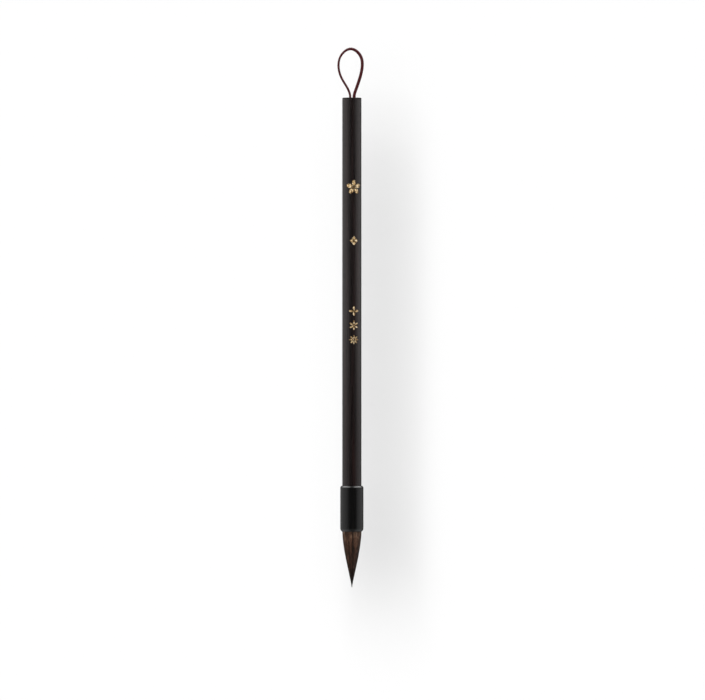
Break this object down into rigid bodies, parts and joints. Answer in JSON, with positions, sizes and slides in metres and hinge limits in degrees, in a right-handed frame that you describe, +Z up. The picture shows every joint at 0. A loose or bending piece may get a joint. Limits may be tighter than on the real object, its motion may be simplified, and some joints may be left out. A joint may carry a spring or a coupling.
{
  "type": "calligraphy brush",
  "caption": "Slim writing brush: dark wood shaft with gold inlaid ornaments, black horn ferrule, pointed brown hair tuft that bends, and a cord loop to hang it by.",
  "frame": {"origin": "the tuft's point, on the shaft's axis", "axes": "+Z up along the shaft from the point to the hanging loop; -Y is the face with the gold ornaments; the loop lies in the XZ plane"},
  "size_m": [0.0114, 0.0102, 0.2365],
  "materials": {
    "shaft_wood": "satin",
    "plug_wood": "satin",
    "horn": "satin",
    "mantle_hair": "satin",
    "lining_hair": "satin",
    "core_hair": "satin",
    "thread": "matte",
    "resin": "gloss",
    "cord": "satin",
    "gold": "satin"
  },
  "bodies": {
    "handle": {"shaft": "shaft_wood", "end_plug": "plug_wood", "ferrule": "horn", "tuft_root": "mantle_hair", "root_thread": "thread", "root_resin": "resin", "cord_knot": "cord", "gold_blossom": "gold", "gold_diamond": "gold", "gold_floret_upper": "gold", "gold_floret_middle": "gold", "gold_floret_lower": "gold"},
    "tuft": {"mantle_hairs": "mantle_hair", "lining_hairs": "lining_hair", "core_hairs": "core_hair"},
    "loop": {"hanging_loop": "cord"}
  },
  "joints": [
    {"name": "tuft_bend", "type": "hinge", "parent": "handle", "child": "tuft", "pos_m": [0, 0, 0.0175], "axis": [0, 1, 0], "range_deg": [-45, 45], "stiffness_Nm_per_rad": 0.003},
    {"name": "loop_flop", "type": "hinge", "parent": "handle", "child": "loop", "pos_m": [0, 0, 0.2153], "axis": [1, 0, 0], "range_deg": [-85, 85], "stiffness_Nm_per_rad": 0.0001}
  ]
}
